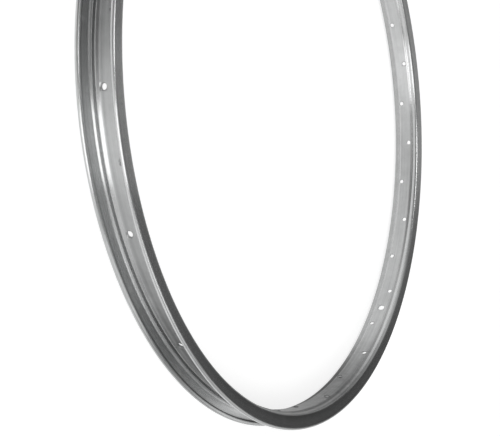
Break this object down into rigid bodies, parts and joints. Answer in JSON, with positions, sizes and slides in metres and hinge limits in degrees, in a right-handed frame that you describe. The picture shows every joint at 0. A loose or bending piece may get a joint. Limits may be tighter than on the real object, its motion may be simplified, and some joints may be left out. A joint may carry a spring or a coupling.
{
  "type": "bicycle rim",
  "caption": "Drop-centre hoop of rolled sheet steel with leaning flanges, folded lips, staggered spoke holes and a valve hole; seats a tyre and takes the spokes of a bicycle wheel.",
  "frame": {"origin": "centre of the hoop, on its mid-plane", "axes": "+Z along the axle line, +X through the valve hole"},
  "size_m": [0.5814, 0.5814, 0.032],
  "materials": {
    "rim": "bright plated flanges and lips, satin rolled bed"
  },
  "bodies": {
    "root": {"rim": "rim"}
  },
  "joints": []
}
